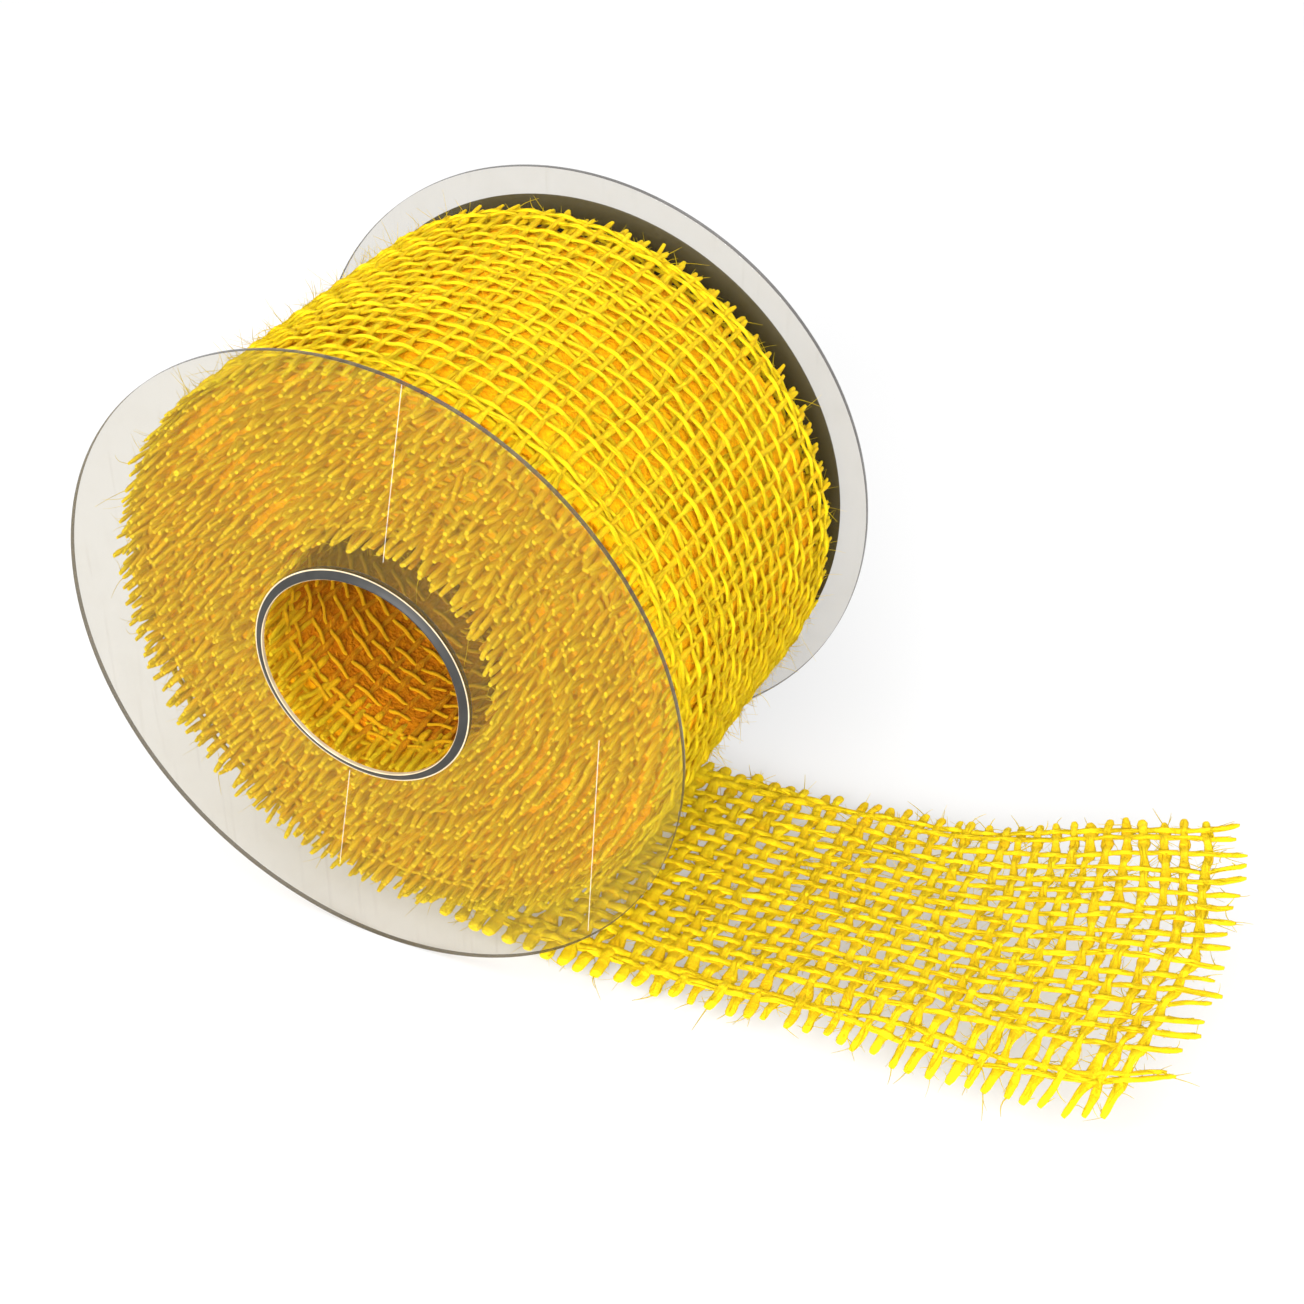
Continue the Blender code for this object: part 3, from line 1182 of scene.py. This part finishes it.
@dataclass
class WoundRibbon:
    """The roll: whole weave on the turns that show, and edges only where turns are packed between them."""

    place: SpoolPlace
    spiral: Spiral
    finish: Material
    # Painted shade: a darker, more orange copy of the jute finish for the inner turns seen down the bore.
    painted_shade_finish: Material
    fringe_finish: Material
    body_finish: Material
    body_painted_shade: Material
    seed: int = 41
    packed_depth: int = 2
    core_turns_length: float = 0.34
    core_turns_spread: float = 0.0011
    packed_weft_pitch: float = 0.00178
    near_body_margin: float = 0.0046
    far_body_margin: float = 0.0058
    body_bevel: float = 0.0008
    body_below: float = 0.00040
    hair_count: int = 3600
    fibre_count: int = 7000

    def wefts_to(self, turn: float) -> int:
        """Number of wefts from the inner end to a turn."""
        return int(self.spiral.length_to(turn) / WeaveSizes().weft_pitch)

    def build(self) -> list[Piece]:
        """Build every piece of the roll.

        Returns:
            The pieces, the outermost turn first.
        """
        pieces = []
        sizes = WeaveSizes()
        last = self.spiral.turns
        hairs, fibres = Strands(), Strands()
        for back in range(self.spiral.outer_turns):
            turn = last - 1 - back
            front = back < 2
            weave = Weave(self.spiral, np.random.default_rng(self.seed + turn), fine=3 if front else 2)
            strands, cover = self.whole_turns(turn, turn + 1, weave)
            piece = strands.sweep(f"outer_turn_{back + 1}", 7 if back == 0 else 6, self.finish, sizes.flat)
            pieces.append(piece)
            if front:
                fuzz = Fuzz(np.random.default_rng(self.seed * 7 + back))
                fuzz.grow(hairs, strands, self.hair_count // (1 + back))
                count = int(self.fibre_count * (0.7 - 0.4 * back))
                fuzz.lay_fibres(fibres, strands, count, sizes.flat, reach=5)
        # The inner turns take the darker inner finish, which is painted shade for the shadowed bore. Their
        # warps lie on the bore side and get pale tones, and the wefts behind them get deep tones: painted
        # light and shade between the yarns.
        weave = Weave(
            self.spiral,
            np.random.default_rng(self.seed),
            sizes=WeaveSizes(warp_lift=-0.00012, warp_crimp=0.00030, weft_crimp=0.00004),
            warp_tones=(0.75, 1.0),
            weft_tones=(0.0, 0.2),
        )
        strands, cover = self.whole_turns(0, self.spiral.inner_turns, weave)
        inner = strands.sweep("inner_turns", 6, self.painted_shade_finish, sizes.flat)
        pieces.append(inner)
        pieces.extend(self.packed_edges())
        pieces.append(hairs.sweep("roll_fuzz", 3, self.finish))
        pieces.append(fibres.sweep("roll_fibres", 3, self.finish))
        pieces.append(self.winding_body())
        return pieces

    def whole_turns(self, first: int, last: int, weave: Weave) -> tuple[Strands, float]:
        """Weave whole turns.

        Args:
            first: The turn that they start at.
            last: The turn that they end at.
            weave: What lays their yarns.

        Returns:
            The strands and the length of ribbon that they cover.
        """
        strands = Strands()
        low, high = self.wefts_to(first), self.wefts_to(last) - 1
        weave.lay_full(strands, low, high, low)
        return strands, self.spiral.length_to(last) - self.spiral.length_to(first)

    def packed_edges(self) -> list[Piece]:
        """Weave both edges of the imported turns, as far in as they can be seen.

        Returns:
            One piece for each edge, and the hairs of both.
        """
        sizes = WeaveSizes(weft_pitch=self.packed_weft_pitch, weft_radius=0.00048)
        top = sizes.warp_count - 1
        first = 1
        last = int(self.spiral.length_to(self.spiral.turns - self.spiral.outer_turns) / sizes.weft_pitch)
        made = []
        hairs = Strands()
        for side in Side:
            rng = np.random.default_rng(self.seed + 500 + side.value)
            weave = Weave(self.spiral, rng, sizes=sizes, fine=2, weft_tones=(0.0, 0.35))
            strands = Strands()
            for depth in range(self.packed_depth):
                number = depth if side is Side.NEAR else top - depth
                weave.lay_warp(strands, number, first, last)
            for number in range(first, last):
                fringe = weave.fringe(side)
                if side is Side.NEAR:
                    inmost = 1 - ease(number * sizes.weft_pitch / self.core_turns_length)
                    fringe += self.core_turns_spread * inmost / sizes.warp_pitch
                    weave.lay_weft(strands, number, -fringe, self.packed_depth - 0.5)
                else:
                    weave.lay_weft(strands, number, top - self.packed_depth + 0.5, top + fringe)
            made.append(strands.sweep(f"packed_turns_{side.name.lower()}", 5, self.fringe_finish, 0.8))
            ends = Strands()
            part = slice(0, 3) if side is Side.NEAR else slice(-3, None)
            ends.points = [line[part] for line in strands.points[self.packed_depth:]]
            ends.ups = [up[part] for up in strands.ups[self.packed_depth:]]
            rng = np.random.default_rng(self.seed + 900 + side.value)
            fuzz = Fuzz(rng, longest=0.0020, thickness=0.000046)
            fuzz.grow(hairs, ends, 2600 if side is Side.NEAR else 2200, 1.3)
        made.append(hairs.sweep("fringe_fuzz", 3, self.fringe_finish))
        return made

    def winding_body(self) -> Piece:
        """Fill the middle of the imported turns, where only their mass shows.

        Returns:
            The piece.
        """
        spiral = self.spiral
        inner = spiral.inner + self.body_below
        outer = spiral.outer - 0.5 * spiral.close_pitch - 1.6 * self.body_below
        half_width = self.place.roll_half_width
        near, far = -half_width + self.near_body_margin, half_width - self.far_body_margin
        shape = turned_ring(self.place, inner, outer, near, far, self.body_bevel, sides=128)
        bmesh.ops.subdivide_edges(shape, edges=[e for e in shape.edges if e.calc_length() > 0.006], cuts=5)
        bmesh.ops.triangulate(shape, faces=shape.faces)
        rng = np.random.default_rng(self.seed + 3)
        for point in shape.verts:
            away = (point.co - self.place.axis) * Vector((1.0, 0.0, 1.0))
            share = ease((away.length - inner) / (outer - inner))
            slack = float(spiral.slack_at(spiral.turns, math.atan2(away.z, away.x))) * share
            point.co += away.normalized() * slack + Vector(rng.normal(0.0, 0.00012, 3))
        # Faces that look into the bore take the darker body finish: painted shade for the bore.
        for face in shape.faces:
            in_bore = self.place.radius_of(face.calc_center_median()) < inner + 0.0006
            face.material_index = 1 if in_bore else 0
        return mesh_piece("winding_body", shape, None, self.body_finish, self.body_painted_shade)


# ---- rings turned about the spool's axis


def turned_ring(
    place: SpoolPlace, inner: float, outer: float, start: float, end: float, bevel: float, sides: int = 192
) -> bmesh.types.BMesh:
    """Turn a ring with rounded edges about the spool's axis.

    Args:
        place: Where the axis is.
        inner: Inner radius.
        outer: Outer radius.
        start: Its lower place along the axis.
        end: Its upper place along the axis.
        bevel: Radius of its edges.
        sides: Sides of the full turn.

    Returns:
        The ring, with its normals outwards.
    """
    shape = bmesh.new()
    corners = ((inner, start), (outer, start), (outer, end), (inner, end))
    points = [shape.verts.new(place.axis + Vector((radius, along, 0.0))) for radius, along in corners]
    shape.faces.new(points)
    bmesh.ops.bevel(shape, geom=points, offset=bevel, affect="VERTICES", segments=2, profile=0.5, material=-1)
    bmesh.ops.delete(shape, geom=list(shape.faces), context="FACES_ONLY")
    spin_outline(shape, place, sides)
    return shape


def spin_outline(shape: bmesh.types.BMesh, place: SpoolPlace, sides: int) -> None:
    """Spin a closed outline once round the spool's axis, with its normals outwards.

    Args:
        shape: The outline; it becomes the ring.
        place: Where the axis is.
        sides: Sides of the full turn.
    """
    outline = list(shape.verts) + list(shape.edges)
    turn = {"axis": (0, 1, 0), "angle": math.tau, "steps": sides, "use_merge": True}
    bmesh.ops.spin(shape, geom=outline, cent=place.axis, **turn)
    bmesh.ops.remove_doubles(shape, verts=shape.verts, dist=1e-7)
    bmesh.ops.recalc_face_normals(shape, faces=shape.faces)


def finish_ring(
    name: str, shape: bmesh.types.BMesh, sheet: Material, rim: Material | None = None
) -> Piece:
    """Make a turned ring a piece, with its rims in a finish of their own.

    Args:
        name: The piece's name.
        shape: The ring.
        sheet: Finish of its flat faces.
        rim: Finish of the faces that don't face along the axis, or None for one finish.

    Returns:
        The piece.
    """
    if rim is not None:
        for face in shape.faces:
            face.material_index = 0 if abs(face.normal.y) > 0.9 else 1
    return mesh_piece(name, shape, 50, *([sheet] if rim is None else [sheet, rim]))


@dataclass
class ClearSpool:
    """Core tube, two clear discs and the grey rings at the mouth of the bore."""

    place: SpoolPlace
    front_sheet: Material
    rear_sheet: Material
    rim: Material
    core: Material
    grey: Material
    # Pale finish that paints the collars' highlights.
    painted_highlight: Material
    edge: float = 0.00012
    disc_clearance: float = 0.00003
    collar_lip: float = 0.00028
    collar_depth: float = 0.00055
    seat_width: float = 0.00017

    def build(self) -> dict[str, Piece]:
        """Build the rings.

        Returns:
            Each piece by the node that it stands for.
        """
        place = self.place
        hole = place.core_radius + self.disc_clearance
        near, far = place.inner_face, place.outer_face
        pieces = {}
        for name, sheet, start, end in (
            ("front_flange", self.front_sheet, -far, -near),
            ("rear_flange", self.rear_sheet, near, far),
        ):
            shape = turned_ring(place, hole, place.flange_radius, start, end, self.edge)
            pieces[name] = finish_ring(f"{name}_disc", shape, sheet, self.rim)
        core_end = place.collar_end - self.collar_depth - self.disc_clearance
        shape = turned_ring(place, place.bore_radius, place.core_radius, -core_end, core_end, self.edge)
        pieces["core_tube"] = finish_ring("clear_core", shape, self.core)
        for name, way in (("front_collar", -1.0), ("rear_collar", 1.0)):
            pieces[name] = self.collar(f"{name}_ring", way)
        return pieces

    def collar(self, name: str, way: float) -> Piece:
        """Turn a ring with a sloping outside, with its bore wall and its seat on the disc in a pale finish
        that paints highlights.

        Args:
            name: The piece's name.
            way: -1 for the front one and 1 for the rear one.

        Returns:
            The piece.
        """
        place = self.place
        top, base = place.collar_end, place.collar_end - self.collar_depth
        inner, outer = place.bore_radius, place.core_radius
        seat = place.outer_face + self.disc_clearance
        outline = (
            (inner, base),
            (inner, top - 0.0001),
            (inner + 0.0001, top),
            (inner + self.collar_lip, top),
            (outer, seat + 0.00012),
            (outer + self.seat_width, seat + 0.00009),
            (outer + self.seat_width, seat),
            (outer - 0.0001, seat),
            (outer - 0.0001, base),
        )
        shape = bmesh.new()
        for radius, along in outline:
            shape.verts.new(place.axis + Vector((radius, along * way, 0.0)))
        points = list(shape.verts)
        for low, high in zip(points, points[1:] + points[:1]):
            shape.edges.new((low, high))
        spin_outline(shape, place, 192)
        # Painted highlight: the bore's inner wall with its edge chamfer, and the seat ring on the disc, take
        # the pale finish.
        for face in shape.faces:
            radius = place.radius_of(face.calc_center_median())
            on_seat = radius > outer + 0.00002 and abs(face.normal.y) > 0.5
            face.material_index = 1 if on_seat or radius < inner + 0.00008 else 0
        return mesh_piece(name, shape, 30, self.grey, self.painted_highlight)


@dataclass
class RearLabel:
    """Dark round label on the outer face of the rear disc."""

    place: SpoolPlace
    finish: Material

    def build(self) -> Piece:
        """Build the label.

        Returns:
            The piece.
        """
        place = self.place
        start = place.outer_face + 0.00002
        thickness = place.label_end - place.label_start
        hole = place.core_radius + place.label_inset
        shape = turned_ring(place, hole, place.label_radius, start, start + thickness, 0.00004)
        return finish_ring("rear_label_paper", shape, self.finish)


# ---- the loose end


@dataclass
class LooseEnd:
    """The stretch of ribbon that has come off the roll."""

    surface: LooseSurface
    finish: Material
    length: float
    seed: int = 77
    cut_ends: float = 0.0055
    hair_count: int = 300
    bridge_count: int = 3500
    fibre_count: int = 2600
    sizes: WeaveSizes = field(
        default_factory=lambda: WeaveSizes(
            warp_pitch=0.00230,
            warp_radius=0.00046,
            weft_radius=0.00067,
            flat=0.55,
            warp_crimp=0.00008,
            weft_crimp=0.00028,
            span=0.0466,
        )
    )

    def build(self) -> tuple[Piece, Piece]:
        """Build the weave and its hairs.

        Returns:
            The woven piece and its fuzz.
        """
        sizes = self.sizes
        strands = Strands()
        weave = Weave(self.surface, np.random.default_rng(self.seed), sizes=sizes, fine=4, swell=0.75)
        last = int((self.length - self.cut_ends) / sizes.weft_pitch)
        weave.lay_full(strands, 0, last, -0.5, self.cut_ends)
        piece = strands.sweep("loose_end", 8, self.finish, sizes.flat)
        hairs = Strands()
        maker = Fuzz(np.random.default_rng(self.seed + 1), longest=0.0028)
        maker.grow(hairs, strands, self.hair_count)
        maker.lay_fibres(hairs, strands, self.fibre_count, sizes.flat, reach=6)
        rng = np.random.default_rng(self.seed + 2)
        maker = Fuzz(rng, shortest=0.0016, longest=0.0026, thickness=0.000078)
        maker.grow(hairs, strands, self.bridge_count, 1.6, rise=0.05)
        fuzz = hairs.sweep("loose_end_fuzz", 3, self.finish)
        return piece, fuzz


# ---- studio


@dataclass
class Studio:
    """Pale table, soft light and the camera."""

    place: SpoolPlace
    azimuth: float = 25.8
    elevation: float = 35.5
    distance: float = 0.2615
    aim: tuple[float, float, float] = (0.0005, -0.0123, 0.0463)
    lens: float = 58.22
    sensor: float = 36.0
    softbox: float = 0.60

    def build(self) -> None:
        """Build the table, the lights, the world and the camera."""
        self.add_table()
        self.add_world()
        for name, location, power in (
            ("key_softbox", (-0.30, -0.40, 0.75), 3.5),
            ("front_softbox", (0.10, -0.95, 0.42), 17.0),
            ("fill_softbox", (0.60, -0.45, 0.40), 4.0),
            ("back_softbox", (0.15, 0.60, 0.60), 1.5),
        ):
            self.add_light(name, location, power)
        self.add_camera()
        settings = bpy.context.scene.view_settings
        settings.view_transform = "Standard"
        settings.look = "None"

    def add_table(self) -> None:
        """Add the table top, just under the object."""
        shape = bmesh.new()
        bmesh.ops.create_grid(shape, x_segments=1, y_segments=1, size=3.0)
        mesh = bpy.data.meshes.new("table_top")
        shape.to_mesh(mesh)
        shape.free()
        table = link_object("table_top", mesh, FloorFinish().make())

    def add_world(self) -> None:
        """Add an even white surround."""
        world = bpy.data.worlds.new("white_studio")
        world.use_nodes = True
        background = world.node_tree.nodes["Background"]
        background.inputs["Color"].default_value = (1.0, 1.0, 1.0, 1.0)
        background.inputs["Strength"].default_value = 1.0
        bpy.context.scene.world = world

    def add_light(self, name: str, location: tuple[float, float, float], power: float) -> None:
        """Add a square softbox that faces the object.

        Args:
            name: Its name.
            location: Where it stands.
            power: Its power in watts.
        """
        light = bpy.data.lights.new(name, "AREA")
        light.shape = "SQUARE"
        light.size = self.softbox
        light.energy = power
        item = bpy.data.objects.new(name, light)
        item.location = location
        item.rotation_mode = "QUATERNION"
        item.rotation_quaternion = (Vector(self.aim) - Vector(location)).to_track_quat("-Z", "Y")
        bpy.context.scene.collection.objects.link(item)

    def add_camera(self) -> None:
        """Add the camera at its viewing angle."""
        turn, rise = math.radians(self.azimuth), math.radians(self.elevation)
        back = Vector((math.sin(turn) * math.cos(rise), -math.cos(turn) * math.cos(rise), math.sin(rise)))
        data = bpy.data.cameras.new("camera")
        data.lens = self.lens
        data.sensor_width = self.sensor
        data.clip_start = 0.01
        camera = bpy.data.objects.new("camera", data)
        camera.location = Vector(self.aim) + back * self.distance
        camera.rotation_mode = "QUATERNION"
        camera.rotation_quaternion = (-back).to_track_quat("-Z", "Y")
        bpy.context.scene.collection.objects.link(camera)
        bpy.context.scene.camera = camera


# ---- putting it together


def report(piece: Piece, body: str) -> None:
    """Log a finished piece and the body that it moves with."""
    LOG.info("%s: %d faces, moves with %s", piece.name, len(piece.data.polygons), body)


def main() -> None:
    """Build the spool, its ribbon and the studio."""
    logging.basicConfig(level=logging.INFO, format="%(message)s")
    place = SpoolPlace.from_frame()
    groups = Groups()
    Studio(place).build()

    jute, shade, fringe, loose = (
        JuteFinish(name, deep, middle, pale).make(groups)
        for name, deep, middle, pale in (
            ("dyed_jute", (0.80, 0.39, 0.0008), (0.90, 0.56, 0.0015), (0.95, 0.74, 0.0090)),
            # The inner finish is a darker, more orange copy of the dyed jute: painted shade for the turns
            # seen down the bore.
            ("inner_jute_painted_shade", (0.64, 0.17, 0.0006), (0.76, 0.28, 0.0010), (1.0, 0.58, 0.0080)),
            ("fringe_jute", (0.98, 0.44, 0.0008), (1.0, 0.56, 0.0012), (1.0, 0.76, 0.0200)),
            ("loose_jute", (0.80, 0.42, 0.0008), (0.87, 0.56, 0.0015), (0.92, 0.71, 0.0090)),
        )
    )
    inside = WindingBodyFinish("packed_jute").make()
    # The darker body finish is painted shade for the body's faces in the bore.
    bore_painted_shade = WindingBodyFinish("packed_jute_painted_shade", (0.50, 0.13, 0.0006), (0.72, 0.25, 0.0010)).make()
    creases = (
        Hairline(offset=0.0014, lean=0.184, bottom=0.0183, top=0.0430),
        Hairline(offset=-0.0002, lean=0.189, bottom=-0.0330, top=-0.0158),
        Hairline(offset=0.0330, lean=0.067, bottom=-0.0300, top=0.0013),
    )
    front_sheet = ClearPlasticFinish("front_clear_sheet", creases=creases).make(groups, place)
    rear_sheet = ClearPlasticFinish("rear_clear_sheet").make(groups, place)
    rim = SolidPlasticFinish("clear_sheet_rim", (0.035, 0.030, 0.026), 0.20, 0.85, gloss=0.3).make(groups)
    # Clear plastic veil tinted dark brown: a real veil, plus painted shade for the shadowed gap round the
    # core and the bore seen through it.
    core_sheet = ClearPlasticFinish(
        "core_clear_plastic_painted_shade", color=(0.10, 0.05, 0.006), veil=0.06, grazing_veil=0.14
    ).make(groups, place)
    grey = SolidPlasticFinish("grey_ring_plastic", (0.014, 0.0135, 0.012), 0.45, gloss=0.35).make(groups)
    # Pale peach finish on the collars' bore walls and seats: painted highlights.
    painted_highlight = SolidPlasticFinish("ring_painted_highlight", (0.42, 0.34, 0.22), 0.15).make(groups)
    paper = PaperFinish("dark_label_paper").make(place)
    tape = SolidPlasticFinish("clear_tape_film", (0.75, 0.70, 0.55), 0.20, 0.35).make(groups)

    spool = ClearSpool(place, front_sheet, rear_sheet, rim, core_sheet, grey, painted_highlight)
    for node, piece in spool.build().items():
        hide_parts(node)
        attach(piece, "spool")
        report(piece, "spool")

    label = RearLabel(place, paper).build()
    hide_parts("rear_label")
    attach(label, "spool")
    report(label, "spool")

    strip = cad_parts["start_tape"]
    strip.data.materials.clear()
    strip.data.materials.append(tape)

    sizes = WeaveSizes()
    stand_off = sizes.weft_radius * sizes.flat + sizes.weft_crimp
    spiral = Spiral(
        axis_x=place.axis_x,
        axis_z=place.axis_z,
        inner=place.core_radius + CORE_GAP + stand_off,
        outer=place.roll_outer - stand_off + ROLL_SPREAD,
        turns=TURNS,
        inner_turns=1,
        outer_turns=3,
    )
    roll = WoundRibbon(place, spiral, jute, shade, fringe, inside, bore_painted_shade).build()
    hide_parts("ribbon_roll")
    for piece in roll:
        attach(piece, "spool")
        report(piece, "spool")

    reach = place.reach_x - place.axis_x
    surface = LooseSurface(place.axis_x, place.axis_z - spiral.outer - LOOSE_END_DROP, reach)
    woven, fuzz = LooseEnd(surface, loose, length=reach + CUT_ALLOWANCE).build()
    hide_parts("ribbon_tail", "ribbon_end")
    for piece in (woven, fuzz):
        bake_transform(piece)
        report(piece, "tail and ribbon_end")


if __name__ == "__main__":
    main()
